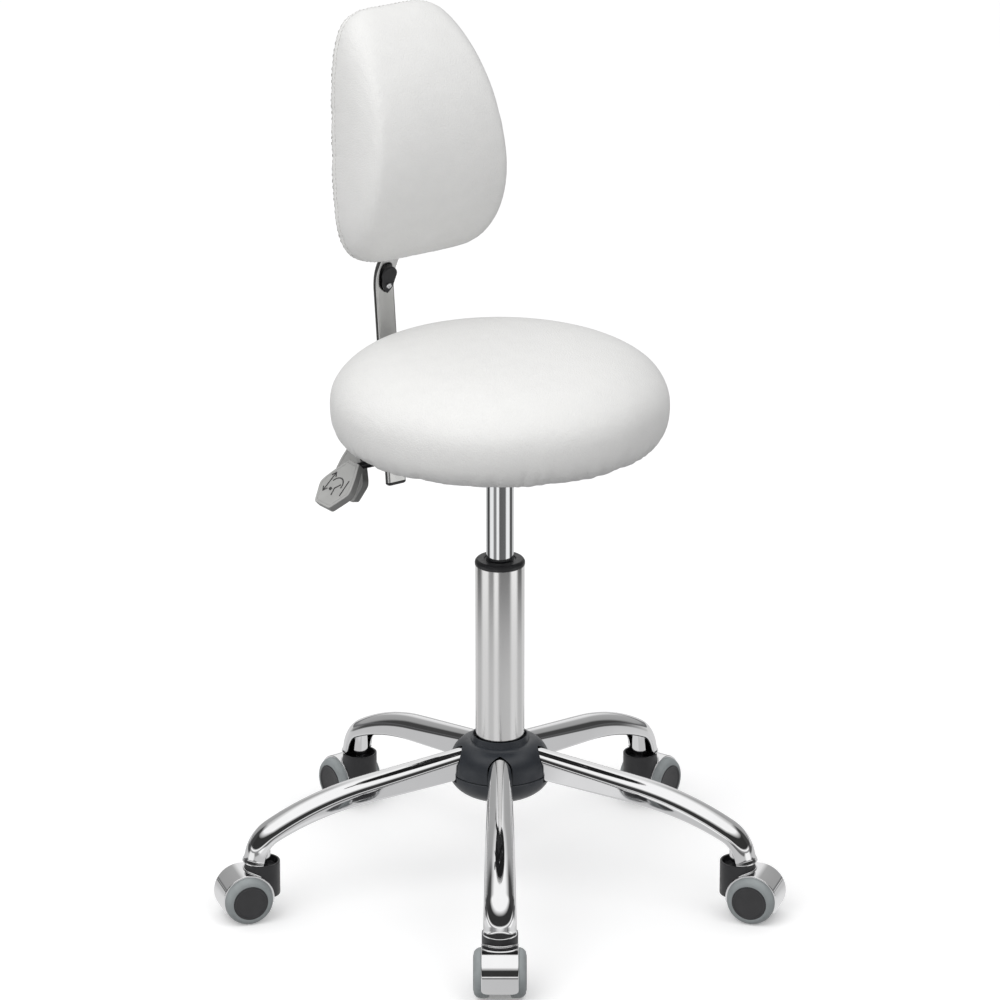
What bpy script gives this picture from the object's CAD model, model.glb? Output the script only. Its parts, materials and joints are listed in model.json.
"""Looks of the pedicure stool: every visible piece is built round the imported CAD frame."""

import json
import math
import random

import bmesh
import bpy
import numpy as np
from mathutils import Matrix, Vector
from mathutils.bvhtree import BVHTree


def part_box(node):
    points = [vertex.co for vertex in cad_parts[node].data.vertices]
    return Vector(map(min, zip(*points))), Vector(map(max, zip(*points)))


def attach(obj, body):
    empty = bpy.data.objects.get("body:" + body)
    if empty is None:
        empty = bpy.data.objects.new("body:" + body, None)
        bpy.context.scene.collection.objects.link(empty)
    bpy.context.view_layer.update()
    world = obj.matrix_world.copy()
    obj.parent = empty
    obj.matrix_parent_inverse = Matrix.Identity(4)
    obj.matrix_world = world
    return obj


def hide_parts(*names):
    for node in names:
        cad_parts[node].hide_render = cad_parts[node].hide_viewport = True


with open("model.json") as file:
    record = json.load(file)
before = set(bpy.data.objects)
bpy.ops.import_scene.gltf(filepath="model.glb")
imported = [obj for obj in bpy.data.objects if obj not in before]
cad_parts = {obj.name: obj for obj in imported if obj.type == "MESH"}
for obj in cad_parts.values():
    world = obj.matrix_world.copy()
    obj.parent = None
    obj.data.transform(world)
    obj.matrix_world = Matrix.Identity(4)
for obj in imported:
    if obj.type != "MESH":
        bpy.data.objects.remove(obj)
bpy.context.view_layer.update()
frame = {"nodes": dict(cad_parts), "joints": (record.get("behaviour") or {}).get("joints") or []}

MM = 0.001
joints = {joint["name"]: joint for joint in frame["joints"]}
scene = bpy.context.scene


def low(cad_node):
    """Lowest corner of a CAD node in millimetres."""
    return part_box(cad_node)[0] / MM


def high(cad_node):
    """Highest corner of a CAD node in millimetres."""
    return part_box(cad_node)[1] / MM


def anchor(joint):
    """Where a joint's axis passes, in millimetres."""
    return Vector(joints[joint]["pos_m"]) / MM


def lerp(a, b, t):
    return a + (b - a) * t


def smooth(t):
    t = min(1.0, max(0.0, t))
    return t * t * (3 - 2 * t)


def power(value, exponent):
    return math.copysign(abs(value) ** exponent, value)


def quarter(steps):
    """Angles from 0 to a right angle."""
    return [math.pi / 2 * k / steps for k in range(steps + 1)]


def circle(steps):
    """Angles all the way round."""
    return [2 * math.pi * k / steps for k in range(steps)]


def linked(name, data):
    """A new object in the scene."""
    made = bpy.data.objects.new(name, data)
    scene.collection.objects.link(made)
    return made


# ---------------------------------------------------------------- materials

def node(tree, kind, inputs=None, **settings):
    """A shader node. An input given as a socket is linked, and any other is set."""
    made = tree.nodes.new(kind)
    for key, value in settings.items():
        setattr(made, key, value)
    for key, value in (inputs or {}).items():
        if isinstance(value, bpy.types.NodeSocket):
            tree.links.new(value, made.inputs[key])
        else:
            made.inputs[key].default_value = value
    return made


def remap(tree, value, low_in, high_in, low_out, high_out):
    made = node(tree, "ShaderNodeMapRange", {0: value, 1: low_in, 2: high_in, 3: low_out, 4: high_out})
    return made.outputs[0]


def calc(tree, operation, *values):
    return node(tree, "ShaderNodeMath", dict(enumerate(values)), operation=operation).outputs[0]


def dot(tree, a, b):
    return node(tree, "ShaderNodeVectorMath", {0: a, 1: b}, operation="DOT_PRODUCT").outputs["Value"]


def mix_colour(tree, factor, a, b):
    made = node(tree, "ShaderNodeMix", {"Factor": factor, "A": a, "B": b}, data_type="RGBA")
    return made.outputs["Result"]


def ramp(tree, value, stops):
    """A grey level that follows (place, level) stops."""
    made = node(tree, "ShaderNodeValToRGB", {"Fac": value})
    band = made.color_ramp
    while len(band.elements) < len(stops):
        band.elements.new(0.5)
    for element, (place, level) in zip(band.elements, stops):
        element.position = place
        element.color = (level, level, level, 1)
    return made.outputs["Color"]


def noise_value(tree, where, scale, detail=3.0, distortion=0.0):
    made = node(tree, "ShaderNodeTexNoise",
                {"Vector": where, "Scale": scale, "Detail": detail, "Distortion": distortion})
    return made.outputs["Fac"]


def shade(tree, colour, value):
    """colour times value, with value a socket."""
    made = node(tree, "ShaderNodeVectorMath", {0: colour, "Scale": value}, operation="SCALE")
    return made.outputs[0]


def edge_mask(tree, radius):
    """1 along convex and concave edges, 0 on open surfaces."""
    rounded = node(tree, "ShaderNodeBevel", {"Radius": radius}, samples=4).outputs[0]
    flat = node(tree, "ShaderNodeNewGeometry").outputs["Normal"]
    return remap(tree, dot(tree, rounded, flat), 0.98, 0.8, 0.0, 1.0)


def grain_height(tree, grain, where, scale):
    """Relief of a surface: pebbled leather, a weave, or a fine even grain."""
    if grain == "pebble":
        wander = shade(tree, (0.002, 0.002, 0.002), noise_value(tree, where, scale * 0.5, 2.0))
        shifted = node(tree, "ShaderNodeVectorMath", {0: where, 1: wander}, operation="ADD").outputs[0]
        cells = node(tree, "ShaderNodeTexVoronoi", {"Vector": shifted, "Scale": scale}, feature="SMOOTH_F1")
        cells.inputs["Smoothness"].default_value = 0.6
        return remap(tree, cells.outputs["Distance"], 0.0, 0.8, 1.0, 0.0)
    if grain == "weave":
        bands = [node(tree, "ShaderNodeTexWave", {"Vector": where, "Scale": scale}, bands_direction=way)
                 for way in "XY"]
        return calc(tree, "MULTIPLY", bands[0].outputs["Fac"], bands[1].outputs["Fac"])
    return noise_value(tree, where, scale, 4.0)


def finish(name, colour, rough, metal, mottle, mottle_scale, rough_spread, grain_scale, grain_depth,
           grain="fine", dents=0.0, worn=None, coat=0.0, stretch=(1, 1, 1), sheen=0.0):
    """A procedural finish: mottled colour, uneven roughness, grain and dents in relief, worn edges."""
    made = bpy.data.materials.new(name)
    made.use_nodes = True
    tree = made.node_tree
    place = node(tree, "ShaderNodeTexCoord").outputs["Object"]
    where = node(tree, "ShaderNodeMapping", {"Vector": place, "Scale": stretch}).outputs[0]
    cloudy = noise_value(tree, where, mottle_scale, 4.0)
    tint = shade(tree, colour, remap(tree, cloudy, 0.3, 0.7, 1 - mottle, 1 + mottle))
    if worn:
        scuffs = remap(tree, noise_value(tree, place, 350.0, 5.0), 0.35, 0.75, 0.0, 0.8)
        tint = mix_colour(tree, calc(tree, "MULTIPLY", edge_mask(tree, 0.0007), scuffs), tint, (*worn, 1))
    patchy = noise_value(tree, where, mottle_scale * 3.1, 3.0, 0.4)
    height = grain_height(tree, grain, where, grain_scale)
    normal = node(tree, "ShaderNodeBump", {"Height": height, "Distance": grain_depth}).outputs[0]
    if dents:
        waves = noise_value(tree, place, 55.0, 2.0, 0.6)
        normal = node(tree, "ShaderNodeBump", {"Height": waves, "Distance": dents, "Normal": normal}).outputs[0]
    surface = tree.nodes["Principled BSDF"]
    uneven = remap(tree, patchy, 0.3, 0.7, rough - rough_spread, rough + rough_spread)
    for key, value in (("Base Color", tint), ("Roughness", uneven), ("Normal", normal)):
        tree.links.new(value, surface.inputs[key])
    for key, value in (("Metallic", metal), ("Coat Weight", coat), ("Coat Roughness", 0.25),
                       ("Sheen Weight", sheen)):
        surface.inputs[key].default_value = value
    return made


CHROME = finish("mirror_chrome", (0.90, 0.90, 0.905), 0.045, 1.0, 0.015, 30, 0.02, 160, 0.00001)
SATIN_CHROME = finish("satin_chrome", (0.84, 0.835, 0.83), 0.17, 1.0, 0.02, 30, 0.03, 1200, 0.000006,
                      stretch=(1, 1, 0.15))
BAR_CHROME = finish("brushed_bar_chrome", (0.60, 0.60, 0.59), 0.16, 1.0, 0.10, 90, 0.05, 700, 0.00003,
                    stretch=(1, 1, 0.3))
STEEL = finish("polished_steel", (0.83, 0.84, 0.85), 0.07, 1.0, 0.03, 60, 0.02, 900, 0.000004,
               stretch=(1, 1, 0.05))
DARK_STEEL = finish("black_powder_coat", (0.022, 0.022, 0.024), 0.42, 0.0, 0.2, 60, 0.08, 1400, 0.00012,
                    worn=(0.25, 0.25, 0.26))
COVER_PLASTIC = finish("anthracite_plastic", (0.030, 0.034, 0.041), 0.33, 0.0, 0.1, 50, 0.05, 2200, 0.00003,
                       worn=(0.07, 0.075, 0.085))
BLACK_PLASTIC = finish("black_plastic", (0.022, 0.022, 0.024), 0.38, 0.0, 0.15, 60, 0.06, 2000, 0.00005,
                       worn=(0.06, 0.06, 0.062))
HUB_PLASTIC = finish("dark_hub_plastic", (0.034, 0.034, 0.036), 0.4, 0.0, 0.12, 80, 0.06, 1800, 0.00005)
TREAD = finish("grey_blue_tread", (0.31, 0.335, 0.34), 0.45, 0.0, 0.08, 80, 0.08, 1500, 0.00008)
PADDLE_PLASTIC = finish("grey_paddle_plastic", (0.42, 0.42, 0.41), 0.42, 0.0, 0.05, 50, 0.05, 2400, 0.00003,
                        worn=(0.55, 0.55, 0.54))
PADDLE_EDGE = finish("paddle_edge_plastic", (0.24, 0.24, 0.235), 0.4, 0.0, 0.1, 50, 0.05, 2000, 0.00004)
MARK = finish("pictogram_ink", (0.06, 0.06, 0.06), 0.5, 0.0, 0.1, 200, 0.05, 2000, 0.00003)
LEATHER = finish("off_white_leatherette", (0.83, 0.828, 0.815), 0.55, 0.0, 0.012, 60, 0.06, 650, 0.00022,
                 grain="pebble", dents=0.00025, coat=0.05)
THREAD = finish("seam_thread", (0.62, 0.61, 0.59), 0.7, 0.0, 0.1, 300, 0.05, 5000, 0.0001)
DARK_THREAD = finish("hem_thread", (0.16, 0.15, 0.14), 0.7, 0.0, 0.2, 300, 0.05, 5000, 0.0001)
DUST_CLOTH = finish("black_nonwoven_cloth", (0.018, 0.018, 0.019), 0.85, 0.0, 0.2, 200, 0.05, 700, 0.0002,
                    grain="weave", sheen=0.3)
PLYWOOD = finish("raw_plywood", (0.50, 0.36, 0.21), 0.65, 0.0, 0.15, 30, 0.08, 700, 0.0002,
                 stretch=(1, 1, 6))


# ---------------------------------------------------------------- mesh helpers

def corner(points, radius, steps=4, closed=True):
    """The outline with each corner turned into a small curve. A point's third value is its own radius."""
    made = []
    count = len(points)
    for i, point in enumerate(points):
        here = Vector(point[:2])
        bend = point[2] if len(point) > 2 else radius
        if bend <= 0 or (not closed and i in (0, count - 1)):
            made.append(here)
            continue
        back = Vector(points[i - 1][:2]) - here
        ahead = Vector(points[(i + 1) % count][:2]) - here
        run = min(bend, 0.45 * back.length, 0.45 * ahead.length)
        start = here + back.normalized() * run
        end = here + ahead.normalized() * run
        for k in range(steps + 1):
            t = k / steps
            made.append((1 - t) ** 2 * start + 2 * t * (1 - t) * here + t * t * end)
    return made


def skin(rings, caps=True, loop=False):
    """Vertices and faces of a surface through rings of points. A ring of one point is a tip."""
    verts, faces, starts = [], [], []
    for ring in rings:
        starts.append(len(verts))
        verts.extend(ring)
    pairs = list(zip(range(len(rings) - 1), range(1, len(rings))))
    if loop:
        pairs.append((len(rings) - 1, 0))
    for a, b in pairs:
        na, nb = len(rings[a]), len(rings[b])
        for j in range(max(na, nb)):
            k = (j + 1) % max(na, nb)
            if na == 1:
                faces.append((starts[a], starts[b] + k, starts[b] + j))
            elif nb == 1:
                faces.append((starts[a] + j, starts[a] + k, starts[b]))
            else:
                faces.append((starts[a] + j, starts[a] + k, starts[b] + k, starts[b] + j))
    if caps and not loop:
        for end in (0, len(rings) - 1):
            if len(rings[end]) > 2:
                face = [starts[end] + j for j in range(len(rings[end]))]
                faces.append(face[::-1] if end == 0 else face)
    return verts, faces


def mesh_of(name, parts, sharp=35):
    """One mesh from (verts, faces) pairs in millimetres, smooth but for edges sharper than the angle."""
    verts, faces = [], []
    for part_verts, part_faces in parts:
        base = len(verts)
        verts.extend(Vector(v) * MM for v in part_verts)
        faces.extend([base + i for i in face] for face in part_faces)
    mesh = bpy.data.meshes.new(name)
    mesh.from_pydata(verts, [], faces)
    work = bmesh.new()
    work.from_mesh(mesh)
    bmesh.ops.remove_doubles(work, verts=work.verts, dist=1e-7)
    bmesh.ops.recalc_face_normals(work, faces=work.faces)
    work.to_mesh(mesh)
    work.free()
    mesh.validate()
    smooth_shade(mesh, sharp)
    return mesh


def smooth_shade(mesh, sharp=35):
    mesh.polygons.foreach_set("use_smooth", [True] * len(mesh.polygons))
    mesh.set_sharp_from_angle(angle=math.radians(sharp))


def lathe(outline, segments=128, closed=True):
    """(verts, faces) of an outline of (radius, height) turned round Z. A radius of 0 makes a tip."""
    rings = []
    for radius, height in outline:
        angles = circle(segments) if radius >= 1e-6 else [0.0]
        rings.append([Vector((radius * math.cos(a), radius * math.sin(a), height)) for a in angles])
    return skin(rings, caps=False, loop=closed)


def placed(part, matrix):
    return [matrix @ Vector(v) for v in part[0]], part[1]


def prism(outline, low_z, high_z, edge):
    """(verts, faces) of a flat outline between two heights, with its rims rolled over by edge."""
    centre = sum(outline, Vector((0, 0))) / len(outline)
    roll = quarter(4)
    rings = []
    for a, z, way in [(a, low_z, 1) for a in roll] + [(a, high_z, -1) for a in roll[::-1]]:
        inner = offset_outline(outline, edge * (1 - math.sin(a)))
        rings.append([Vector((p.x, p.y, z + way * edge * (1 - math.cos(a)))) for p in inner])
    bottom, top = ([Vector((centre.x, centre.y, z))] for z in (low_z, high_z))
    return skin([bottom] + rings + [top], caps=False)


def offset_outline(outline, inset):
    """The closed outline moved inwards by inset along its corner normals."""
    count = len(outline)
    area = sum(outline[i][0] * outline[(i + 1) % count][1] - outline[(i + 1) % count][0] * outline[i][1]
               for i in range(count))
    side = 1 if area > 0 else -1
    made = []
    for i in range(count):
        here = Vector(outline[i])
        before = (here - Vector(outline[i - 1])).normalized()
        after = (Vector(outline[(i + 1) % count]) - here).normalized()
        normal = Vector((-(before + after).y, (before + after).x)) * side
        if normal.length < 1e-9:
            normal = Vector((-after.y, after.x)) * side
        normal.normalize()
        made.append(here + normal * inset)
    return made


def tube(path, radius, sides, closed=False):
    """(verts, faces) of a round tube along a path of points."""
    rings = []
    count = len(path)
    up = None
    for i, point in enumerate(path):
        here = Vector(point)
        ahead = Vector(path[(i + 1) % count]) if closed or i < count - 1 else here
        back = Vector(path[i - 1]) if closed or i > 0 else here
        run = (ahead - back).normalized()
        if up is None:
            up = run.orthogonal().normalized()
        up = (up - run * up.dot(run)).normalized()
        side = run.cross(up)
        rings.append([here + radius * (up * math.cos(a) + side * math.sin(a)) for a in circle(sides)])
    if closed:
        return skin(rings, loop=True, caps=False)
    first, last = Vector(path[0]), Vector(path[-1])
    return skin([[first]] + rings + [[last]], caps=False)


def show(name, mesh, material, body, replaces=(), matrix=None, even=True):
    """A visible piece in its place, riding on a body."""
    piece = linked(name, mesh)
    if not mesh.materials:
        mesh.materials.append(material)
    if matrix is not None:
        piece.matrix_world = matrix
    if even:
        piece.modifiers.new("even_normals", "WEIGHTED_NORMAL").keep_sharp = True
    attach(piece, body)
    if replaces:
        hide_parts(*replaces)
    return piece


def evaluated(piece):
    """A new mesh with the piece's modifiers applied."""
    bpy.context.view_layer.update()
    graph = bpy.context.evaluated_depsgraph_get()
    return bpy.data.meshes.new_from_object(piece.evaluated_get(graph))


def modified(mesh, kind, **settings):
    """A new mesh: the mesh with one modifier applied."""
    work = linked("work", mesh)
    step = work.modifiers.new("step", kind)
    for key, value in settings.items():
        setattr(step, key, value)
    made = evaluated(work)
    bpy.data.objects.remove(work)
    return made


def carve(mesh, cutters):
    """The mesh less each cutter mesh."""
    for cutter in cutters:
        tool = linked("cutter", cutter)
        mesh = modified(mesh, "BOOLEAN", operation="DIFFERENCE", object=tool, solver="EXACT")
        bpy.data.objects.remove(tool)
    smooth_shade(mesh, 30)
    return mesh


def keep_cad(name, material, bevel):
    """A CAD node that stays: welded, its edges rounded by modifiers, with a procedural finish."""
    piece = frame["nodes"][name]
    mesh = piece.data
    mesh.materials.clear()
    mesh.materials.append(material)
    mesh.polygons.foreach_set("use_smooth", [True] * len(mesh.polygons))
    piece.modifiers.new("weld", "WELD").merge_threshold = 0.00001
    if bevel:
        round_over = piece.modifiers.new("bevel", "BEVEL")
        round_over.width = bevel * MM
        round_over.segments = 2
        round_over.limit_method = "ANGLE"
        round_over.angle_limit = math.radians(40)
        round_over.use_clamp_overlap = True
    piece.modifiers.new("even_normals", "WEIGHTED_NORMAL").keep_sharp = True


# ---------------------------------------------------------------- star base

ARM_COUNT = 5
stem_places = [anchor(f"caster_{n}_swivel") for n in range(1, ARM_COUNT + 1)]
arm_angles = [math.atan2(p.y, p.x) for p in stem_places]
stem_circle = Vector(stem_places[0][:2]).length
hub_r = high("base_hub").x
arm_start = hub_r + 0.5
arm_start_z = high("base_arms").z
arm_end_z = low("base_arms").z
ARM_SLOPE, SHOULDER_SLOPE, TIP_SLOPE = 9.8, 30, 76
SHOULDER_R, BEND_R = 303, 47
ARM_ROOT_W, ARM_TIP_W = 22, 33
ARM_DEPTHS = ((0, 30), (0.6, 23), (1, 17))   # share of the arm's length, depth of the channel
ARM_SHEET, ARM_ROLL = 1.7, 3.0
BEND_RUN = 105.5                             # the straight part ends this far short of the stems


def crown_line():
    """Stations along an arm's crown: (distance from the column, height, fall angle in degrees)."""
    straight_end = stem_circle - BEND_RUN
    fall = math.tan(math.radians(ARM_SLOPE))
    line = [(lerp(arm_start, straight_end, t / 6), arm_start_z - (straight_end - arm_start) * t / 6 * fall,
             ARM_SLOPE) for t in range(6)]
    x, z = straight_end, arm_start_z - (straight_end - arm_start) * fall
    for radius, start, end, steps in ((SHOULDER_R, ARM_SLOPE, SHOULDER_SLOPE, 14),
                                      (BEND_R, SHOULDER_SLOPE, TIP_SLOPE, 22)):
        for k in range(steps):
            a0, a = math.radians(start), math.radians(lerp(start, end, k / steps))
            line.append((x + radius * (math.sin(a) - math.sin(a0)),
                         z - radius * (math.cos(a0) - math.cos(a)), math.degrees(a)))
        a0, a = math.radians(start), math.radians(end)
        x += radius * (math.sin(a) - math.sin(a0))
        z -= radius * (math.cos(a0) - math.cos(a))
    drop = z - arm_end_z
    run = drop / math.tan(math.radians(TIP_SLOPE))
    for t in (0, 0.3, 0.55, 0.72, 0.84, 0.93, 1.0):
        line.append((x + run * t, z - drop * t, lerp(TIP_SLOPE, 90, smooth((t - 0.3) / 0.7))))
    return line


def arm_section(t, rim):
    """Closed outline of the pressed channel at t along the arm: (sideways, down from the crown)."""
    half = lerp(ARM_ROOT_W, ARM_TIP_W, t ** 0.7) / 2 + rim
    (_, root), (middle, waist), (_, tip) = ARM_DEPTHS
    depth = lerp(root, waist, t / middle) if t < middle else lerp(waist, tip, (t - middle) / (1 - middle))
    crown = half * 0.95
    angles = [math.pi * k / 28 for k in range(29)]

    def wall(inset):
        return [((half - inset) * power(math.cos(a), 0.95),
                 inset + (crown - inset) * (1 - power(math.sin(a), 0.95))) for a in angles]

    inner_roll = ARM_ROLL - ARM_SHEET
    lip = [(half - ARM_ROLL * (1 - math.cos(a)), depth - ARM_ROLL * (1 - math.sin(a))) for a in quarter(5)]
    in_lip = [(half - ARM_ROLL + inner_roll * math.cos(a), depth - ARM_ROLL + inner_roll * math.sin(a))
              for a in quarter(3)[::-1]]
    outside = lip[::-1] + wall(0) + [(-x, y) for x, y in lip]
    inside = [(-x, y) for x, y in in_lip] + wall(ARM_SHEET)[::-1] + in_lip[::-1]
    return [Vector((x, y - rim)) for x, y in outside + inside]


def arm_mesh():
    """One arm along X. Its end is cut level and flared a little where it meets the stem socket."""
    rings = []
    line = crown_line()
    run = line[-1][0] - arm_start
    for x, z, slope in line:
        a = math.radians(slope)
        rim = 0.9 * smooth((arm_end_z + 4.5 - z) / 3.5)
        section = arm_section(min(1.0, (x - arm_start) / run), rim)
        rings.append([Vector((x - p.y * math.sin(a), p.x, max(z - p.y * math.cos(a), arm_end_z)))
                      for p in section])
    return mesh_of("star_arm", [skin(rings)], 40)


def turned(angle, radius=0.0):
    """Local frame of an arm (radius 0) or of a caster stem."""
    return Matrix.Rotation(angle, 4, "Z") @ Matrix.Translation((radius * MM, 0, 0))


def build_arms():
    mesh = arm_mesh()
    for n, angle in enumerate(arm_angles):
        show(f"star_arm_{n + 1}", mesh, CHROME, "base",
             ("base_arms",) if n == 0 else (), turned(angle))


ARCH_FLOOR = 122.8   # the arches are cut down to this height


def arm_tunnel(apex):
    """Cutter for the pointed arch through which an arm leaves the covers."""
    half = ARM_ROOT_W / 2 + 1.8
    steps = 14
    side = [(half * (1 - (i / steps) ** 3.4), apex - 18 * (1 - i / steps)) for i in range(steps + 1)]
    outline = [(half, ARCH_FLOOR)] + side + [(-y, z) for y, z in side[-2::-1]] + [(-half, ARCH_FLOOR)]
    rings = [[Vector((x, y, z)) for y, z in outline] for x in (hub_r - 3, hub_r + 30)]
    return skin(rings)


def build_covers():
    """The two halves of the hub cover, each with five arches."""
    top = high("hub_cover_upper").z
    seam = low("hub_cover_upper").z
    outer_r = high("hub_cover_upper").x
    mouth, throat, wall = 27, 20, 2

    def dome(inset):
        return [(lerp(mouth + 3, outer_r - inset, math.cos(a)), lerp(seam + 4.5, top - 6 - inset, math.sin(a)))
                for a in quarter(30)[::-1]]

    rim = [(outer_r, seam + 0.8), (outer_r - 0.7, seam), (outer_r - wall, seam)]
    outline = [(mouth, top - 0.6), (mouth + 0.5, top), (mouth + 1.2, top - 0.5)] + dome(0) + rim
    outline += dome(wall)[::-1] + [(mouth, top - 8)]
    tunnels = [mesh_of("tunnel", [placed(arm_tunnel(arm_start_z + 1), Matrix.Rotation(a, 4, "Z"))])
               for a in arm_angles]
    mesh = carve(mesh_of("hub_cover_upper", [lathe(outline, 192)]), tunnels)
    show("hub_cover_top", mesh, COVER_PLASTIC, "base", ("hub_cover_upper",))

    bowl_bottom, bowl_top = low("hub_cover_lower").z, high("hub_cover_lower").z
    bowl_r = high("hub_cover_lower").x

    def bowl(inset):
        return [(lerp(throat, bowl_r, power(math.cos(a), 1.1)) - inset * math.cos(a),
                 bowl_top - 2.5 - (bowl_top - 2.5 - bowl_bottom) * math.sin(a) + inset) for a in quarter(30)]

    outline = [(bowl_r, bowl_top - 0.6), (bowl_r, bowl_top - 2)] + bowl(0) + bowl(wall)[::-1]
    outline += [(bowl_r - wall, bowl_top), (bowl_r - 0.6, bowl_top)]
    mesh = carve(mesh_of("hub_cover_lower", [lathe(outline, 192)]), tunnels)
    show("hub_cover_bottom", mesh, COVER_PLASTIC, "base", ("hub_cover_lower",))


def build_column():
    """Column tube, and the collar that guides the gas cylinder in it."""
    tube_r = high("column_tube").x
    bottom, top = low("column_tube").z, high("column_tube").z
    wall, bore = 1.8, 14.06
    outline = corner([(tube_r, bottom), (tube_r, top), (tube_r - wall, top), (tube_r - wall, bottom + 4),
                      (8, bottom + 4), (8, bottom)], 0.5, 3)
    show("column_tube_outer", mesh_of("column", [lathe(outline, 160)]), SATIN_CHROME, "base",
         ("column_tube",))
    bush_bottom, bush_top = low("guide_bush").z, high("guide_bush").z
    outline = corner([(bore, bush_bottom), (tube_r - wall - 0.1, bush_bottom), (tube_r - wall - 0.1, top + 0.1),
                      (tube_r + 0.5, top + 0.1, 0.4), (tube_r + 0.5, bush_top - 2.6, 1.0),
                      (tube_r - 1.6, bush_top, 1.2), (bore + 2.2, bush_top, 0.5),
                      (bore + 1.8, bush_top - 1.2, 0.4), (bore, bush_top - 1.2, 0.3)], 0.3, 4)
    show("column_collar", mesh_of("collar", [lathe(outline, 160)]), BLACK_PLASTIC, "base",
         ("guide_bush",))


def build_gas_cylinder():
    """Turned steel cylinder with its tapered top, hollow for the piston rod and the release pin."""
    radius = high("gas_cylinder").x
    bottom, top = low("gas_cylinder").z, high("gas_cylinder").z
    bore, rod_hole, pin_hole, taper_r, taper = 11.5, 5.06, 4.06, 12.9, 19
    outline = corner([(rod_hole, bottom), (radius, bottom, 0.8), (radius, top - taper, 0), (taper_r, top, 0.5),
                      (pin_hole, top, 0.3), (pin_hole, top - 36, 0), (bore, top - 44, 0), (bore, bottom + 18, 0),
                      (rod_hole, bottom + 18, 0)], 0.3, 3)
    show("gas_spring_cylinder", mesh_of("gas_spring", [lathe(outline, 160)]), STEEL, "seat",
         ("gas_cylinder",))


# ---------------------------------------------------------------- casters

AXLE_Z = anchor("wheel_1a_spin").z
TRAIL = Vector(anchor("wheel_1a_spin")[:2]).length - stem_circle
WHEEL_R, WHEEL_OUT = AXLE_Z, 26.5
CUP_R, CUP_BOTTOM, CUP_TOP = 18, 24, 60
HOOD_R, HOOD_HALF = WHEEL_R + 2, 18.5
STEM_HOLE = 5.7

# From a caster's stem to its axle, where Z runs along the axle, X outwards and Y up.
at_axle = Matrix.Translation((TRAIL, 0, AXLE_Z)) @ Matrix.Rotation(math.pi / 2, 4, "X")


def part_of(mesh):
    """(verts, faces) of a mesh, in millimetres."""
    return [v.co / MM for v in mesh.vertices], [list(p.vertices) for p in mesh.polygons]


def rod(radius, start, end, segments):
    """(verts, faces) of a plain cutter round Z."""
    return lathe([(0, start), (radius, start), (radius, end), (0, end)], segments, False)


def housing_mesh():
    """Swivel cup that saddles the hood, and the web between the wheels."""
    cup = corner([(STEM_HOLE, CUP_BOTTOM + 3), (STEM_HOLE, CUP_TOP - 7, 0.6), (CUP_R - 3.2, CUP_TOP - 7, 1.5),
                  (CUP_R - 2.2, CUP_TOP, 0.8), (CUP_R, CUP_TOP, 0.8), (CUP_R, CUP_BOTTOM, 1.0),
                  (STEM_HOLE, CUP_BOTTOM, 0.6)], 0.5, 4)
    cut = mesh_of("cut", [placed(rod(HOOD_R + 0.2, -60, 60, 160), at_axle)])
    parts = [part_of(carve(mesh_of("cup", [lathe(cup, 128)]), [cut]))]
    web_r, web_half, web_floor = WHEEL_R - 0.2, 9.2, -5
    start = math.asin(web_floor / web_r)
    rim = [Vector((web_r * math.cos(a), web_r * math.sin(a)))
           for a in (lerp(start, math.pi - start, k / 48) for k in range(49))]
    parts.append(placed(prism(rim, -web_half, web_half, 0.8), at_axle))
    sleeve = corner([(4.3, -web_half), (11, -web_half), (11, web_half), (4.3, web_half)], 0.8, 3)
    parts.append(placed(lathe(sleeve, 64), at_axle))
    return mesh_of("caster_cup", parts, 30)


def hood_mesh():
    """Chromed band over the wheels with curled side rims, and the lip round the cup."""
    start, end = math.radians(-28), math.radians(196)
    rounding, steps = 5, 84
    rings = []
    for k in range(steps + 1):
        a = lerp(start, end, k / steps)
        short = rounding - min(a - start, end - a) * HOOD_R
        narrow = rounding - math.sqrt(max(0.0, rounding ** 2 - short ** 2)) if short > 0 else 0.0
        half = HOOD_HALF - narrow
        right_side = [(half, HOOD_R, 1.2), (half, HOOD_R - 2.0, 0.2), (half - 0.9, HOOD_R - 2.0, 0.2),
                      (half - 0.9, HOOD_R - 1.0, 0.4)]
        left_side = [(-x, y, bend) for x, y, bend in right_side[::-1]]
        outline = corner(right_side + left_side, 0, 4)
        rings.append([Vector((p.y * math.cos(a), p.y * math.sin(a), p.x)) for p in outline])
    band = mesh_of("band", [placed(skin(rings), at_axle)])
    cup = mesh_of("cup_cut", [rod(CUP_R + 0.15, 20, 80, 128)])
    lip_r = CUP_R + 1.0
    reach = math.asin((HOOD_HALF - 0.6) / lip_r)
    lip = []
    for k in range(41):
        a = lerp(-reach, reach, k / 40)
        x, y = lip_r * math.cos(a), lip_r * math.sin(a)
        lip.append(Vector((x, y, AXLE_Z + math.sqrt(HOOD_R ** 2 - (x - TRAIL) ** 2) + 0.3)))
    return mesh_of("caster_hood", [part_of(carve(band, [cup])), tube(lip, 1.0, 12)], 32)


def tread_mesh():
    """Soft tread with a domed outer face, towards its own +Z."""
    inner = 10.5
    dome = [(WHEEL_R - 6.6 * (1 - math.cos(a)), lerp(18.5, WHEEL_OUT - 0.5, math.sin(a)))
            for a in quarter(10)]
    outline = [(17.9, inner), (WHEEL_R - 2.2, inner), (WHEEL_R - 0.6, inner + 0.6), (WHEEL_R, inner + 2)]
    outline += dome + [(18.0, WHEEL_OUT - 0.7), (17.9, WHEEL_OUT - 2)]
    return mesh_of("tread", [lathe(outline, 128)], 40)


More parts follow.
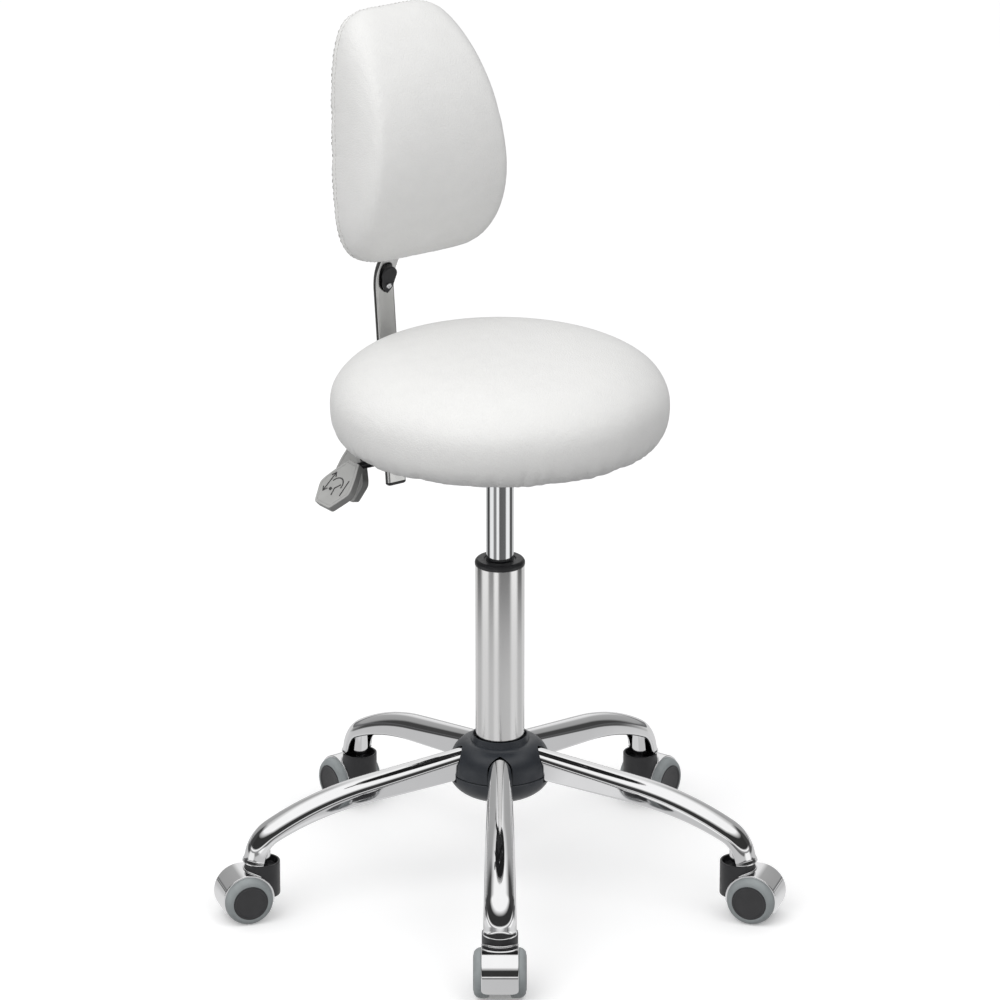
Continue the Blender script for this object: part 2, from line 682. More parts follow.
def hub_mesh():
    """Dark wheel hub: a slightly dished outer disc with a raised rim."""
    inner = 10.3
    outline = corner([(0, WHEEL_OUT - 2.4), (4.3, WHEEL_OUT - 2.4, 0.3), (4.3, inner, 0.3),
                      (9, inner, 0.5), (9, inner + 1.6, 0.4), (17.8, inner + 1.6, 0.3),
                      (17.8, WHEEL_OUT - 0.2, 0.5), (16.2, WHEEL_OUT - 0.1, 0.5),
                      (15.2, WHEEL_OUT - 0.9, 0.8), (8, WHEEL_OUT - 1.3, 2), (0, WHEEL_OUT - 1.4)],
                     0.3, 4, False)
    return mesh_of("hub", [lathe(outline, 128, False)], 40)


def build_casters():
    housing, hood, tread, hub = housing_mesh(), hood_mesh(), tread_mesh(), hub_mesh()
    to_axle = Matrix.Translation((TRAIL * MM, 0, AXLE_Z * MM)) @ Matrix.Rotation(math.pi / 2, 4, "X")
    for n, angle in enumerate(arm_angles, 1):
        here = turned(angle, stem_circle)
        body = f"caster_{n}"
        show(f"{body}_cup", housing, BLACK_PLASTIC, body, (f"{body}_housing",), here)
        show(f"{body}_chrome_hood", hood, CHROME, body, (f"{body}_hood",), here)
        keep_cad(f"{body}_axle", STEEL, 0.3)
        for side, turn in (("a", math.pi), ("b", 0.0)):
            where = here @ to_axle @ Matrix.Rotation(turn, 4, "X")
            wheel = f"wheel_{n}{side}"
            show(f"{body}_tread_{side}", tread, TREAD, wheel, (), where)
            show(f"{body}_hub_{side}", hub, HUB_PLASTIC, wheel,
                 (f"{body}_wheel_{side}",), where)


# ---------------------------------------------------------------- soft parts

def points_of(mesh):
    made = np.empty(len(mesh.vertices) * 3)
    mesh.vertices.foreach_get("co", made)
    return made.reshape(-1, 3)


def move_points(mesh, where):
    mesh.vertices.foreach_set("co", np.asarray(where, float).ravel())
    mesh.update()


VOXEL = 4.5


def remeshed(mesh):
    return modified(mesh, "REMESH", mode="VOXEL", voxel_size=VOXEL * MM)


def subdivided(mesh):
    made = modified(mesh, "SUBSURF", levels=1)
    smooth_shade(made, 180)
    return made


def evened(mesh, values, rounds):
    """The values at the mesh's points, averaged with their neighbours' a number of times."""
    ends = np.array([edge.vertices[:] for edge in mesh.edges])
    a, b = np.concatenate([ends[:, 0], ends[:, 1]]), np.concatenate([ends[:, 1], ends[:, 0]])
    count = np.maximum(np.bincount(a, minlength=len(values)), 1)
    for _ in range(rounds):
        around = np.stack([np.bincount(a, values[b, k], len(values)) for k in range(3)], 1)
        values = 0.4 * values + 0.6 * around / count[:, None]
    return values


def weigh(piece, name, weights):
    """A vertex group with one weight per point."""
    group = piece.vertex_groups.new(name=name)
    for i in np.nonzero(weights > 0.01)[0]:
        group.add([int(i)], float(weights[i]), "REPLACE")


def inflate(mesh, held, cap, spare):
    """Swells the mesh as cloth under pressure: held is 1 where it stays put, spare 1 where it may wrinkle."""
    work = linked("inflating", mesh)
    start = points_of(mesh)
    weigh(work, "held", held)
    weigh(work, "slack", spare)
    settings = work.modifiers.new("cloth", "CLOTH").settings
    settings.quality = 5
    settings.vertex_group_mass = "held"
    settings.use_pressure = True
    settings.uniform_pressure_force = 4.0
    settings.effector_weights.gravity = 0
    settings.vertex_group_shrink = "slack"
    settings.shrink_min = 0.0
    settings.shrink_max = -0.06
    for step in range(1, 21):
        scene.frame_set(step)
    made = evaluated(work)
    bpy.data.objects.remove(work)
    scene.frame_set(1)
    travel = points_of(made) - start
    travel = evened(made, travel, 60) * (1 - spare[:, None]) + evened(made, travel, 3) * spare[:, None]
    length = np.maximum(np.linalg.norm(travel, axis=1), 1e-9)
    limit = cap * MM
    soft = limit * np.tanh(length / limit)
    move_points(made, start + travel * (soft / length)[:, None])
    return made


def grooves(rng, count, depth, width, reach):
    """Seeded pleats round a rim: (angle, depth, half width, reach)."""
    made = []
    for i in range(count):
        made.append((2 * math.pi * (i + rng.uniform(-0.42, 0.42)) / count, rng.uniform(*depth),
                     rng.uniform(*width), rng.uniform(*reach)))
    return made


ROLL_W, ROLL_H = 18, 35   # the curve under the seat's widest line
RECESS_R = 149.5          # the board sits in a recess of this radius
SEAT_SLIM = 0.4           # the form starts this much smaller, as it swells


def seat_profile():
    """Right half of the seat's section, top centre first: (radius, height)."""
    seat_r = high("seat_cushion").x - SEAT_SLIM
    bottom, top = low("seat_cushion").z, high("seat_cushion").z
    belly = bottom + ROLL_H
    upper = [(seat_r * power(math.cos(a), 0.78), belly + (top - SEAT_SLIM - belly) * power(math.sin(a), 0.8))
             for a in quarter(40)[::-1]]
    lower = [(seat_r - ROLL_W + ROLL_W * power(math.cos(a), 0.8), belly - ROLL_H * math.sin(a))
             for a in quarter(16)[1:]]
    upper[0] = (0, upper[0][1])
    return upper + lower + [(RECESS_R, bottom), (RECESS_R, bottom + 4), (0, bottom + 4)]


def build_seat():
    """Round cushion: blown up as cloth over a held rim, then gathered where it is pulled under the board."""
    bottom = low("seat_cushion").z
    mesh = remeshed(mesh_of("seat_form", [lathe(seat_profile(), 160, False)]))
    at = points_of(mesh) / MM
    radius = np.hypot(at[:, 0], at[:, 1])
    held = ((at[:, 2] < bottom + 6) & (radius < 157)).astype(float)
    spare = np.clip((bottom + 24 - at[:, 2]) / 18, 0, 1) * (radius > 150)
    mesh = subdivided(inflate(mesh, held, 4.0, spare))
    at = points_of(mesh) / MM
    radius = np.hypot(at[:, 0], at[:, 1])
    angle = np.arctan2(at[:, 1], at[:, 0])
    rng = random.Random(11)
    push = np.zeros(len(at))
    for where, depth, width, reach in grooves(rng, 58, (0.5, 2.1), (0.014, 0.03), (9, 30)):
        off = np.angle(np.exp(1j * (angle - where)))
        fade = np.clip(1 - (at[:, 2] - bottom) / reach, 0, 1)
        push -= depth * np.exp(-(off / width) ** 2) * fade ** 1.3
        push += 0.35 * depth * np.exp(-((np.abs(off) - 2 * width) / width) ** 2) * fade ** 1.3
    outside = radius > 150.5
    pull = np.where(outside, push, 0) / np.maximum(radius, 1)
    at[:, 0] *= 1 + pull
    at[:, 1] *= 1 + pull
    scallop = sum(math.cos(0.7 * k) * np.sin(angle * (9 + 5 * k) + k * 1.9) for k in range(4)) * 0.5
    hem = np.clip((bottom + 12 - at[:, 2]) / 12, 0, 1) * (radius > 151)
    at[:, 2] += hem * (scallop + 0.8)
    move_points(mesh, at * MM)
    show("seat_upholstery", mesh, LEATHER, "seat", ("seat_cushion",), even=False)


def build_dust_cover():
    """Black cloth under the seat board, stapled round its edge."""
    bottom, top = low("seat_dust_cover").z, high("seat_dust_cover").z
    cover_r = high("seat_dust_cover").x
    rings = [[Vector((0, 0, bottom + 0.35))]]
    rng = random.Random(5)
    phases = [rng.uniform(0, 6.28) for _ in range(6)]
    for r in (cover_r * k / 40 for k in range(1, 41)):
        near_rim = smooth((r / cover_r - 0.55) / 0.4)
        ring = []
        for a in circle(180):
            wave = sum(math.sin(a * (7 + 4 * k) + phases[k]) for k in range(6)) / 6
            ring.append(Vector((r * math.cos(a), r * math.sin(a), bottom + 0.35 + 0.3 * wave * near_rim)))
        rings.append(ring)
    lid = [[Vector((p.x, p.y, top)) for p in ring] for ring in rings]
    mesh = mesh_of("dust_cloth", [skin(rings + lid[::-1], caps=False)], 60)
    show("seat_dust_cloth", mesh, DUST_CLOTH, "seat", ("seat_dust_cover",))
    staples = []
    for i in range(40):
        a = 2 * math.pi * (i + 0.5) / 40
        out = Vector((math.cos(a), math.sin(a), 0))
        side = Vector((-out.y, out.x, 0))
        mid = out * (cover_r - 4) + Vector((0, 0, bottom - 0.15))
        rise = Vector((0, 0, 0.8))
        path = [mid - side * 5 + rise, mid - side * 4.7, mid - side * 2, mid + side * 2, mid + side * 4.7,
                mid + side * 5 + rise]
        staples.append(tube(path, 0.45, 8))
    show("seat_staples", mesh_of("staples", staples), STEEL, "seat")


# The pad is built upright and stands leaning about its pin.
PAD_PIN = anchor("pad_tilt")
PIN_TO_REAR, PIN_TO_MIDDLE = 16.09, 99.5   # the pad's rear face is in front of the pin, its middle above
PAD_REAR = PAD_PIN.y - PIN_TO_REAR
PAD_MID_Z = PAD_PIN.z + PIN_TO_MIDDLE
PAD_HALF_W, PAD_HALF_H, PAD_T = 84, 128.5, 84
PAD_TAPER, PAD_SWELL, PAD_LEAN = 0.18, 0.72, 11
leaning = (Matrix.Translation(PAD_PIN * MM) @ Matrix.Rotation(math.radians(-PAD_LEAN), 4, "X")
           @ Matrix.Translation(-PAD_PIN * MM))


def pad_outline(inset, steps, blunt):
    """Rounded outline of the pad moved inwards by inset: (sideways, share of half height)."""
    made = []
    for a in circle(steps):
        up = power(math.sin(a), 0.56 * blunt)
        made.append(((PAD_HALF_W * (1 - PAD_TAPER * up) - inset) * power(math.cos(a), 0.46 * blunt), up))
    return made


def pad_ring(inset, depth, steps=160, blunt=1.0):
    """Ring of the pad at a depth in front of its rear face. The depth may vary with the height share."""
    return [Vector((x, PAD_REAR - (depth(up) if callable(depth) else depth),
                    PAD_MID_Z + (PAD_HALF_H - inset) * up)) for x, up in pad_outline(inset, steps, blunt)]


def pad_form():
    """Closed form of the back pad: flat rear panel, straight sides, front thick in the middle."""
    side, middle, crown, square = 12, 66, 5, 0.86
    roll, turns = 17, 14
    sunk = 0.4   # the rear face lies this much deeper than the board's, so that the board shows
    rings = [[Vector((0, PAD_REAR - sunk, PAD_MID_Z))]]
    for inset, depth in ((60, sunk), (20, sunk), (5, sunk), (2.5, 1.0), (1.2, 3), (0.6, 7), (0.4, side - 1)):
        rings.append(pad_ring(inset, depth, blunt=square))

    def front(inset, share):
        height = (PAD_HALF_H - inset) / PAD_HALF_H
        dome = crown * (1 - (1 - inset / middle) ** 2)
        return lambda up: side + ((PAD_T - crown) * (1 - PAD_SWELL * (up * height) ** 2) + dome - side) * share

    for k, a in enumerate(quarter(turns)[1:], 1):
        inset = 0.2 + roll * (1 - power(math.cos(a), 0.72))
        rings.append(pad_ring(inset, front(inset, power(math.sin(a), 0.75)), blunt=lerp(square, 1, k / turns)))
    for k in range(1, 10):
        inset = lerp(roll + 0.2, middle, k / 10)
        rings.append(pad_ring(inset, front(inset, 1)))
    rings.append([Vector((0, p.y, p.z)) for p in rings[-1]])
    return mesh_of("pad_form", [skin(rings, caps=False)])


def surface_path(mesh, path, outward):
    """The path's points and normals brought onto the mesh along each point's own outward direction."""
    tree = BVHTree.FromPolygons([v.co for v in mesh.vertices], [p.vertices for p in mesh.polygons])
    made = []
    for point, out in zip(path, outward):
        hit, normal, _, _ = tree.ray_cast(Vector(point) * MM + out * 0.03, -out)
        if hit is not None:
            made.append((hit / MM, normal))
    return made


def stitches(points, length, gap, thread, lift):
    """Short raised threads laid end to end along a path of (point, normal)."""
    parts = []
    travelled = 0.0
    current = []
    drawing = True
    for (a, na), (b, _) in zip(points, points[1:]):
        step = (b - a).length
        if drawing:
            current.append(a + na * lift)
        travelled += step
        if travelled >= (length if drawing else gap):
            if drawing and len(current) > 2:
                current[0] -= na * lift
                current[-1] -= na * lift
                parts.append(tube(current, thread, 6))
            current = []
            drawing = not drawing
            travelled = 0.0
    return parts


def resample(points, spacing):
    """Points at an even spacing along a closed path of (point, normal)."""
    made = []
    points = points + points[:1]
    left = 0.0
    for (a, na), (b, nb) in zip(points, points[1:]):
        length = (b - a).length
        while left < length:
            t = left / length
            made.append((a.lerp(b, t), na.lerp(nb, t).normalized()))
            left += spacing
        left -= length
    return made


def pad_seam_path(mesh, depth):
    """Points and normals round the pad's side, at a depth in front of its rear face."""
    outline = pad_ring(0, depth, 720)
    outward = []
    for i, point in enumerate(outline):
        run = outline[(i + 1) % len(outline)] - outline[i - 1]
        out = Vector((run.z, 0, -run.x)).normalized()
        if out.dot(point - Vector((0, point.y, PAD_MID_Z))) < 0:
            out = -out
        outward.append(out)
    return resample(surface_path(mesh, outline, outward), 0.8)


def build_back_pad():
    seam_depth = 9
    mesh = remeshed(pad_form())
    at = points_of(mesh) / MM
    depth = PAD_REAR - at[:, 1]
    held = np.clip((seam_depth - depth) / 4, 0, 1)
    spare = np.exp(-((depth - seam_depth) / 6) ** 2) * 0.5
    mesh = subdivided(inflate(mesh, held, 4.5, spare))
    at = points_of(mesh) / MM
    depth = PAD_REAR - at[:, 1]
    rng = random.Random(3)
    outward = np.stack([at[:, 0] / PAD_HALF_W ** 2, at[:, 2] * 0, (at[:, 2] - PAD_MID_Z) / PAD_HALF_H ** 2], 1)
    outward /= np.maximum(np.linalg.norm(outward, axis=1), 1e-9)[:, None]
    turn = np.arctan2((at[:, 2] - PAD_MID_Z) / PAD_HALF_H, at[:, 0] / PAD_HALF_W)
    groove = -0.9 * np.exp(-((depth - seam_depth) / 1.6) ** 2)
    for where, pull, width, reach in grooves(rng, 44, (0.15, 0.7), (0.02, 0.05), (8, 22)):
        off = np.angle(np.exp(1j * (turn - where)))
        corner_pull = 1 + 1.5 * max(0.0, -math.sin(where)) * abs(math.cos(where))
        fade = np.clip(1 - np.abs(depth - seam_depth) / reach, 0, 1)
        groove -= pull * corner_pull * np.exp(-(off / width) ** 2) * fade ** 1.4
    on_side = (depth > 1.5) & (depth < 40)
    move_points(mesh, (at + outward * np.where(on_side, groove, 0)[:, None]) * MM)
    show("back_pad_upholstery", mesh, LEATHER, "pad", ("back_cushion",), leaning, even=False)

    seam = pad_seam_path(mesh, seam_depth)
    show("back_pad_welt", mesh_of("welt", [tube([p for p, _ in seam][::2], 0.8, 8, True)], 180), LEATHER,
         "pad", (), leaning, even=False)
    threads = []
    for shift in (-3.0, 3.0):
        threads += stitches(pad_seam_path(mesh, seam_depth + shift), 2.6, 1.4, 0.26, 0.16)
    show("back_pad_stitches", mesh_of("stitches", threads, 180), THREAD, "pad", (), leaning,
         even=False)
    hem = pad_seam_path(mesh, 2.2)
    show("back_pad_hem_stitches", mesh_of("hem_stitches", stitches(hem, 3.2, 2.2, 0.4, 0.2), 180),
         DARK_THREAD, "pad", (), leaning, even=False)


# ---------------------------------------------------------------- backrest hardware

LEAN, UPPER_LEAN = 5.5, 28.5
BEND_START_Z, BAR_BEND_R = 590, 45
guide_point = anchor("clamp_turn")
BAR_HALF_W, BAR_HALF_T = high("back_upright").x, 4


def lean_dir(angle):
    return Vector((0, math.sin(math.radians(angle)), math.cos(math.radians(angle))))


def front_of(angle):
    return Vector((0, -math.cos(math.radians(angle)), math.sin(math.radians(angle))))


bend_from = Vector((0, guide_point.y + (BEND_START_Z - guide_point.z) * math.tan(math.radians(LEAN)),
                    BEND_START_Z))
bend_centre = bend_from + front_of(LEAN) * BAR_BEND_R


def bar_section():
    return corner([(-BAR_HALF_W, -BAR_HALF_T), (BAR_HALF_W, -BAR_HALF_T), (BAR_HALF_W, BAR_HALF_T),
                   (-BAR_HALF_W, BAR_HALF_T)], 2.6, 5)


def bar_ring(centre, angle, scale=1.0, thin=1.0):
    front = front_of(angle)
    return [centre + Vector((p.x * scale, 0, 0)) + front * p.y * thin for p in bar_section()]


def build_upright():
    bottom = low("back_upright").z
    top = high("back_upright").z
    start = bend_from - lean_dir(LEAN) * ((BEND_START_Z - bottom) / math.cos(math.radians(LEAN)))
    rings = [bar_ring(start.lerp(bend_from, t / 4), LEAN) for t in range(4)]
    for k in range(25):
        angle = lerp(LEAN, -UPPER_LEAN, k / 24)
        rings.append(bar_ring(bend_centre - front_of(angle) * BAR_BEND_R, angle))
    last = bend_centre - front_of(-UPPER_LEAN) * BAR_BEND_R
    up = lean_dir(-UPPER_LEAN)
    end = last + up * ((top - BAR_HALF_T - last.z) / up.z)
    rings.append(bar_ring(end, -UPPER_LEAN))
    for a in quarter(6)[1:]:
        rings.append(bar_ring(end + up * BAR_HALF_T * math.sin(a), -UPPER_LEAN,
                              1 - 0.06 * (1 - math.cos(a)), max(0.02, math.cos(a))))
    show("backrest_upright", mesh_of("upright", [skin(rings)], 50), BAR_CHROME, "upright",
         ("back_upright",))
    down = -lean_dir(LEAN)
    cap_rings = [bar_ring(start + down * 0.2, LEAN, 0.99, 0.98), bar_ring(start + down * 1.2, LEAN)]
    for a in quarter(7)[1:]:
        cap_rings.append(bar_ring(start + down * (1.2 + 2.7 * math.sin(a)), LEAN,
                                  1 - 0.28 * (1 - math.cos(a)), 1 - 0.75 * (1 - math.cos(a))))
    show("upright_foot_cap", mesh_of("foot_cap", [skin(cap_rings)], 50), BLACK_PLASTIC, "upright",
         ("upright_end_cap",))


def build_stop():
    """Pointed plate in the hollow of the upright's bend, with its screw."""
    lean = (LEAN - UPPER_LEAN) / 2 - 3
    point = bend_centre - front_of(lean) * (BAR_BEND_R - BAR_HALF_T - 3.6)
    frame_here = Matrix.Translation(point) @ Matrix.Rotation(math.radians(-lean), 4, "X") @ Matrix.Rotation(
        math.pi / 2, 4, "X")
    outline = [(0, -18, 1.5), (5.5, -11.5, 3)]
    outline += [(8.6 * math.cos(a), 4 + 9 * math.sin(a), 0) for a in (math.pi * k / 20 for k in range(21))]
    outline += [(-5.5, -11.5, 3)]
    plate = placed(prism(corner(outline, 0, 5), 0, 3, 0.7), frame_here)
    show("tilt_stop_plate", mesh_of("stop_plate", [plate], 50), DARK_STEEL, "upright",
         ("tilt_stop",))
    head = corner([(0, -1.4, 0), (1.9, -1.4, 0), (1.9, 3.1, 0), (3.2, 3.1, 0.3), (3.2, 4.4, 0.6),
                   (1.5, 5.1, 0.6), (0.9, 4.4, 0.2), (0, 4.3, 0)], 0.2, 4, False)
    bolt = placed(lathe(head, 48, False), frame_here @ Matrix.Translation((0, -8, 0)))
    show("tilt_stop_screw", mesh_of("stop_screw", [bolt], 40), STEEL, "upright",
         ("stop_bolt",))


def build_knob():
    """Lobed clamp knob with its stud."""
    stud_start = BAR_HALF_T + 0.15
    neck = 9.9 + 0.9
    grip, depth = neck + 4, 13
    here = Matrix.Translation(guide_point) @ Matrix.Rotation(math.radians(-LEAN), 4, "X") @ Matrix.Rotation(
        -math.pi / 2, 4, "X")
    stud = corner([(0, stud_start), (3, stud_start, 0.3), (3, neck, 0.3), (8, neck, 0.6), (8, grip + 1, 0.4),
                   (0, grip + 1)], 0, 4, False)
    parts = [lathe(stud, 64, False)]
    rings = []
    for k in range(33):
        t = math.pi * k / 32
        z = grip + depth / 2 - depth / 2 * power(math.cos(t), 0.35)
        swell = power(math.sin(t), 0.3) if 0 < k < 32 else 0.0
        if swell < 1e-6:
            rings.append([Vector((0, 0, z))])
            continue
        ring = []
        for a in circle(144):
            lobes = 16.2 - 1.8 * (0.5 + 0.5 * math.cos(6 * a)) ** 3
            ring.append(Vector((lobes * swell * math.cos(a), lobes * swell * math.sin(a), z)))
        rings.append(ring)
    parts.append(skin(rings, caps=False))
    mesh = mesh_of("knob", [placed(p, here) for p in parts], 50)
    show("height_clamp_knob", mesh, BLACK_PLASTIC, "knob", ("clamp_knob",))


# ---------------------------------------------------------------- lever paddles

PADDLE_L, PADDLE_HALF, PADDLE_T = 54, 25, 8


def paddle_outline(inset=0.0):
    wide = PADDLE_L * 0.62
    right = [(0, 9, 1), (2, 10, 1), (wide * 0.5, PADDLE_HALF - 6, 4), (wide * 0.85, PADDLE_HALF - 0.6, 2),
             (wide, PADDLE_HALF, 2.5), (wide + 4, PADDLE_HALF - 2, 3), (PADDLE_L, 13, 3)]
    points = [(x, -y, r) for x, y, r in right] + [(x, y, r) for x, y, r in right[::-1]]
    return offset_outline(corner(points, 1, 4), inset) if inset else corner(points, 1, 4)


def paddle_marks(kind):
    """A generic pictogram in relief on the paddle's top face: arrows and a seat curve."""
    def line(points, width=0.75):
        return tube([Vector((x, y, 0.05)) for x, y in points], width, 6)

    arc = [(30 + 9 * math.cos(a), 9 * math.sin(a)) for a in (math.pi * (0.62 + 0.9 * k / 14) for k in range(15))]
    parts = [line(arc)]
    if kind == "height":
        parts += [line([(18, 12), (40, 12)]), line([(36, 8.5), (40.5, 12), (36, 15.5)]),
                  line([(22, 8.5), (17.5, 12), (22, 15.5)])]
        parts += [line([(27, -6), (33, -1)]), line([(33, -1), (41, -3)]), line([(20, -13), (38, -15)])]
    else:
        parts += [line([(18, -12), (34, -14)]), line([(31, -17), (35, -14), (30.5, -10.5)]),
                  line([(26, 4), (38, 9)])]
    parts.append(tube([Vector((34, 3, 0.05)), Vector((36.5, 4, 0.05))], 1.7, 8))
    return parts


def build_paddle(name, node_name, body, kind, fall):
    """Six-sided pad that falls away from its lever: light top with a raised border, dark sides."""
    top = high(node_name)
    root = Vector((top.x - PADDLE_T * math.sin(math.radians(fall)), anchor(f"{body}_lift").y, top.z))
    here = Matrix.Translation(root) @ Matrix.Rotation(math.radians(180 - fall), 4, "Y")
    outline = paddle_outline()
    mesh = mesh_of(name, [placed(prism(outline, 0.0, PADDLE_T, 1.0), here)], 50)
    mesh.materials.append(PADDLE_EDGE)
    mesh.materials.append(PADDLE_PLASTIC)
    into = (here.to_3x3() @ Vector((0, 0, 1))).normalized()
    for face in mesh.polygons:
        face.material_index = 1 if face.normal.dot(into) < -0.55 else 0
    show(name, mesh, PADDLE_PLASTIC, body, (node_name,))
    border = offset_outline(outline, 3.2)
    rim = tube([Vector((p.x, p.y, 0.0)) for p in border], 0.45, 6, True)
    show(f"{name}_border", mesh_of("border", [placed(rim, here)], 180), PADDLE_PLASTIC, body,
         even=False)
    marks = [placed(part, here) for part in paddle_marks(kind)]
    show(f"{name}_pictogram", mesh_of("pictogram", marks, 180), MARK, body, even=False)


# ---------------------------------------------------------------- assemble

build_arms()
build_covers()
build_column()
build_gas_cylinder()
build_casters()
build_seat()
build_dust_cover()
build_back_pad()
build_upright()
build_stop()
build_knob()
build_paddle("height_lever_paddle", "height_paddle", "height_lever", "height", 43)
build_paddle("tilt_lever_paddle", "tilt_paddle", "tilt_lever", "tilt", 79)

for kept in ("base_hub", "mechanism_plate", "height_lever", "tilt_lever", "back_bracket", "pad_plate"):
    keep_cad(kept, DARK_STEEL, 0.6)
for kept in ("caster_stems", "thrust_bearing", "piston_rod", "retaining_clip", "mechanism_bolts",
             "pivot_pins", "release_pin", "hinge_pin", "pad_screws"):
    keep_cad(kept, STEEL, 0.3)
keep_cad("stem_sockets", CHROME, 0.3)
keep_cad("upright_guide", BLACK_PLASTIC, 0.4)
keep_cad("seat_board", PLYWOOD, 0.5)
keep_cad("back_board", LEATHER, 0)   # covered with the same leatherette as the pad


# ---------------------------------------------------------------- studio

VIEW_AZIMUTH = math.radians(-35)
VIEW_ELEVATION = math.radians(20.09)
right = Vector((math.cos(VIEW_AZIMUTH), math.sin(VIEW_AZIMUTH), 0))
near = Vector((math.sin(VIEW_AZIMUTH), -math.cos(VIEW_AZIMUTH), 0))   # towards the camera


def build_camera():
    camera = linked("camera", bpy.data.cameras.new("camera"))
    camera.location = (-2.952, -4.216, 2.303)
    camera.rotation_euler = (math.pi / 2 - VIEW_ELEVATION, 0, VIEW_AZIMUTH)
    camera.data.sensor_width = 36
    camera.data.lens = 195.9
    camera.data.clip_end = 60
    scene.camera = camera


def bearing(tree, where):
    """Angle about the column from the camera's side, -1 to 1 of a half turn, right positive."""
    turn = calc(tree, "ARCTAN2", dot(tree, where, right), dot(tree, where, near))
    return calc(tree, "DIVIDE", turn, math.pi)


def strip_lights(tree, turn):
    """Bright and dark fields of the studio floor as chrome sees them, all round the column."""
    degrees = ((-180, 0.62), (-135, 0.66), (-122, 0.07), (-98, 0.07), (-86, 0.92), (-58, 0.92), (-50, 0.24),
               (-32, 0.24), (-24, 1.0), (-10, 1.0), (-3, 0.13), (46, 0.15), (56, 1.0), (82, 1.0),
               (94, 0.09), (116, 0.09), (128, 0.66), (180, 0.62))
    place = remap(tree, turn, -1, 1, 0, 1)
    return ramp(tree, place, [((d + 180) / 360, level) for d, level in degrees])


def studio_walls(tree, turn, height):
    """What chrome sees above the floor: dark round the camera and beside it, grey behind, white overhead."""
    off_axis = calc(tree, "ABSOLUTE", turn)
    wall = ramp(tree, off_axis, [(0.0, 0.035), (0.5, 0.035), (0.56, 0.055), (0.68, 0.055), (0.73, 0.34),
                                 (0.88, 0.40), (0.94, 0.80), (1.0, 0.88)])
    near_band = ramp(tree, height, [(0.0, 0.0), (0.09, 0.0), (0.15, 1.0), (0.52, 1.0), (0.72, 0.0), (1.0, 0.0)])
    far_band = ramp(tree, height, [(0.0, 1.0), (0.60, 1.0), (0.88, 0.0), (1.0, 0.0)])
    at_camera = remap(tree, off_axis, 0.58, 0.5, 0, 1)
    cover = mix_colour(tree, at_camera, far_band, near_band)
    above = mix_colour(tree, cover, (1.0, 1.0, 1.0, 1), wall)
    line = ramp(tree, height, [(0.0, 0.8), (0.04, 0.8), (0.075, 0.0), (1.0, 0.0)])
    return mix_colour(tree, line, above, (0.12, 0.12, 0.125, 1))


def build_world():
    """White to the camera, brighter on the left to matt surfaces, a studio of light and dark to chrome."""
    world = bpy.data.worlds.new("studio")
    scene.world = world
    world.use_nodes = True
    tree = world.node_tree
    tree.nodes.clear()
    facing = node(tree, "ShaderNodeTexCoord").outputs["Generated"]
    turn = bearing(tree, facing)
    height = node(tree, "ShaderNodeSeparateXYZ", {0: facing}).outputs["Z"]
    is_above = remap(tree, height, -0.03, 0.0, 0, 1)
    studio = mix_colour(tree, is_above, strip_lights(tree, turn), studio_walls(tree, turn, height))
    towards = (near * 0.62 - right * 0.40 + Vector((0, 0, 0.68))).normalized()
    lit = remap(tree, dot(tree, facing, towards), -0.8, 1, 0, 1)
    even = mix_colour(tree, lit, (0.37, 0.37, 0.38, 1), (1.06, 1.06, 1.06, 1))
    path = node(tree, "ShaderNodeLightPath")
    seen = mix_colour(tree, path.outputs["Is Glossy Ray"], even, studio)
    seen = mix_colour(tree, path.outputs["Is Camera Ray"], seen, (1.0, 1.0, 1.0, 1))
    glow = node(tree, "ShaderNodeBackground", {"Color": seen, "Strength": 1.0})
    out = node(tree, "ShaderNodeOutputWorld", {"Surface": glow.outputs[0]})
    out.is_active_output = True


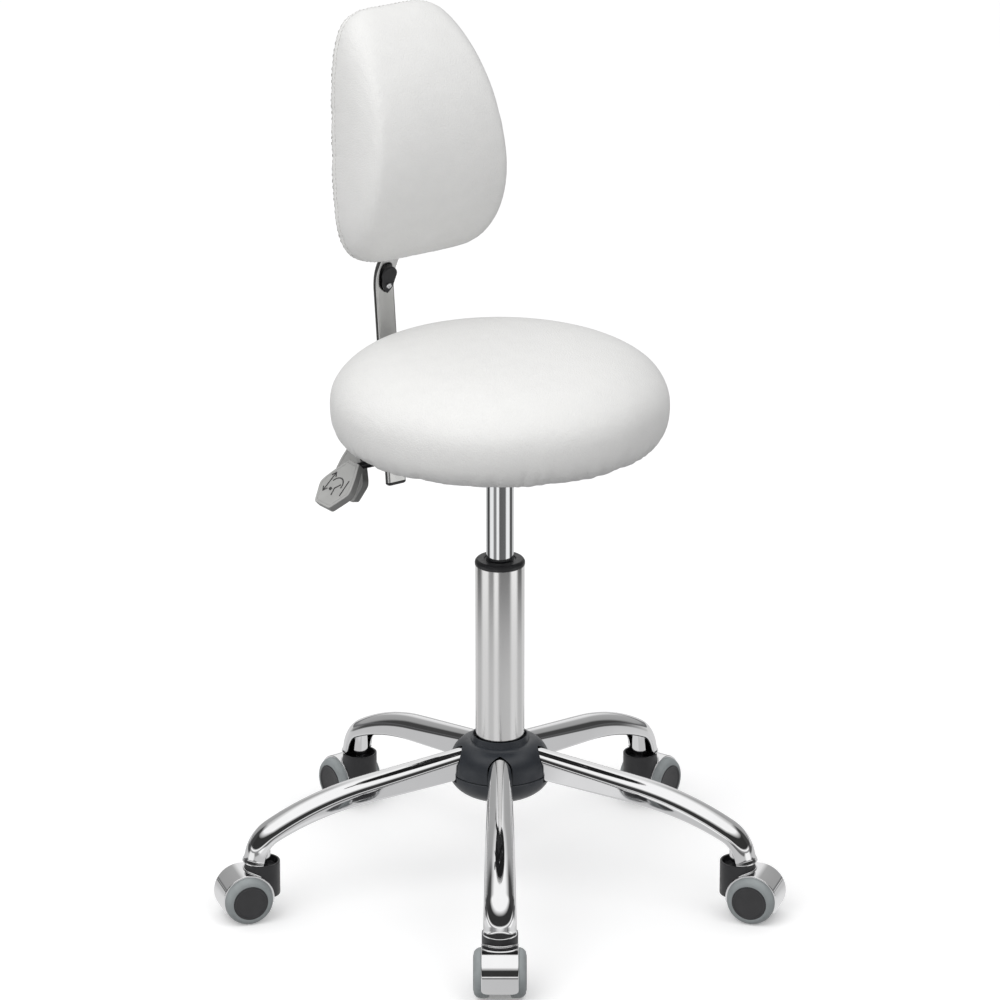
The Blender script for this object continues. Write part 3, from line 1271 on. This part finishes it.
def build_floor():
    """White disc. Chrome sees a pale sheet near the stool and the studio's fields beyond it."""
    rings = [[Vector((0, 0, 0))]]
    for radius in (0.4, 1, 2, 4, 8, 16, 30):
        rings.append([Vector((radius * math.cos(a), radius * math.sin(a), 0)) / MM for a in circle(96)])
    floor = linked("floor", mesh_of("floor", [skin(rings, caps=False)]))
    material = bpy.data.materials.new("pale_floor")
    material.use_nodes = True
    tree = material.node_tree
    tree.nodes.clear()
    place = node(tree, "ShaderNodeNewGeometry").outputs["Position"]
    turn = bearing(tree, place)
    away = node(tree, "ShaderNodeVectorMath", {0: place}, operation="LENGTH").outputs["Value"]
    sheet = remap(tree, away, 0.7, 0.95, 0.22, 1)
    seen = mix_colour(tree, sheet, (0.68, 0.68, 0.685, 1), strip_lights(tree, turn))
    mirror_look = node(tree, "ShaderNodeEmission", {"Color": seen, "Strength": 1.0})
    grain = noise_value(tree, place, 6.0)
    white = shade(tree, (0.93, 0.93, 0.93), remap(tree, grain, 0.3, 0.7, 0.99, 1.01))
    matt = node(tree, "ShaderNodeBsdfDiffuse", {"Color": white})
    glow = node(tree, "ShaderNodeEmission", {"Color": (1, 1, 1, 1), "Strength": 0.22})
    bright = node(tree, "ShaderNodeAddShader", {0: matt.outputs[0], 1: glow.outputs[0]})
    dim = node(tree, "ShaderNodeBsdfDiffuse", {"Color": (0.26, 0.26, 0.265, 1)})
    path = node(tree, "ShaderNodeLightPath")
    to_matt = node(tree, "ShaderNodeMixShader", {0: path.outputs["Is Diffuse Ray"], 1: bright.outputs[0],
                                                 2: dim.outputs[0]})
    mix = node(tree, "ShaderNodeMixShader", {0: path.outputs["Is Glossy Ray"], 1: to_matt.outputs[0],
                                             2: mirror_look.outputs[0]})
    node(tree, "ShaderNodeOutputMaterial", {"Surface": mix.outputs[0]})
    floor.data.materials.append(material)


def build_light(name, turn_degrees, elevation_degrees, distance, size, watts):
    """Soft square light aimed at the seat; its place is given from the camera's side, right positive."""
    a, e = math.radians(turn_degrees), math.radians(elevation_degrees)
    target = Vector((0, 0, 0.5))
    way = (near * math.cos(a) + right * math.sin(a)) * math.cos(e) + Vector((0, 0, math.sin(e)))
    light = linked(name, bpy.data.lights.new(name, "AREA"))
    light.data.size = size
    light.data.energy = watts
    light.location = target + way * distance
    light.rotation_euler = (-way).to_track_quat("-Z", "Y").to_euler()
    light.visible_glossy = False


build_camera()
build_world()
build_floor()
build_light("key_light", -40, 42, 2.6, 1.8, 14)
build_light("fill_light", 50, 50, 2.6, 1.4, 6)
scene.view_settings.view_transform = "Standard"
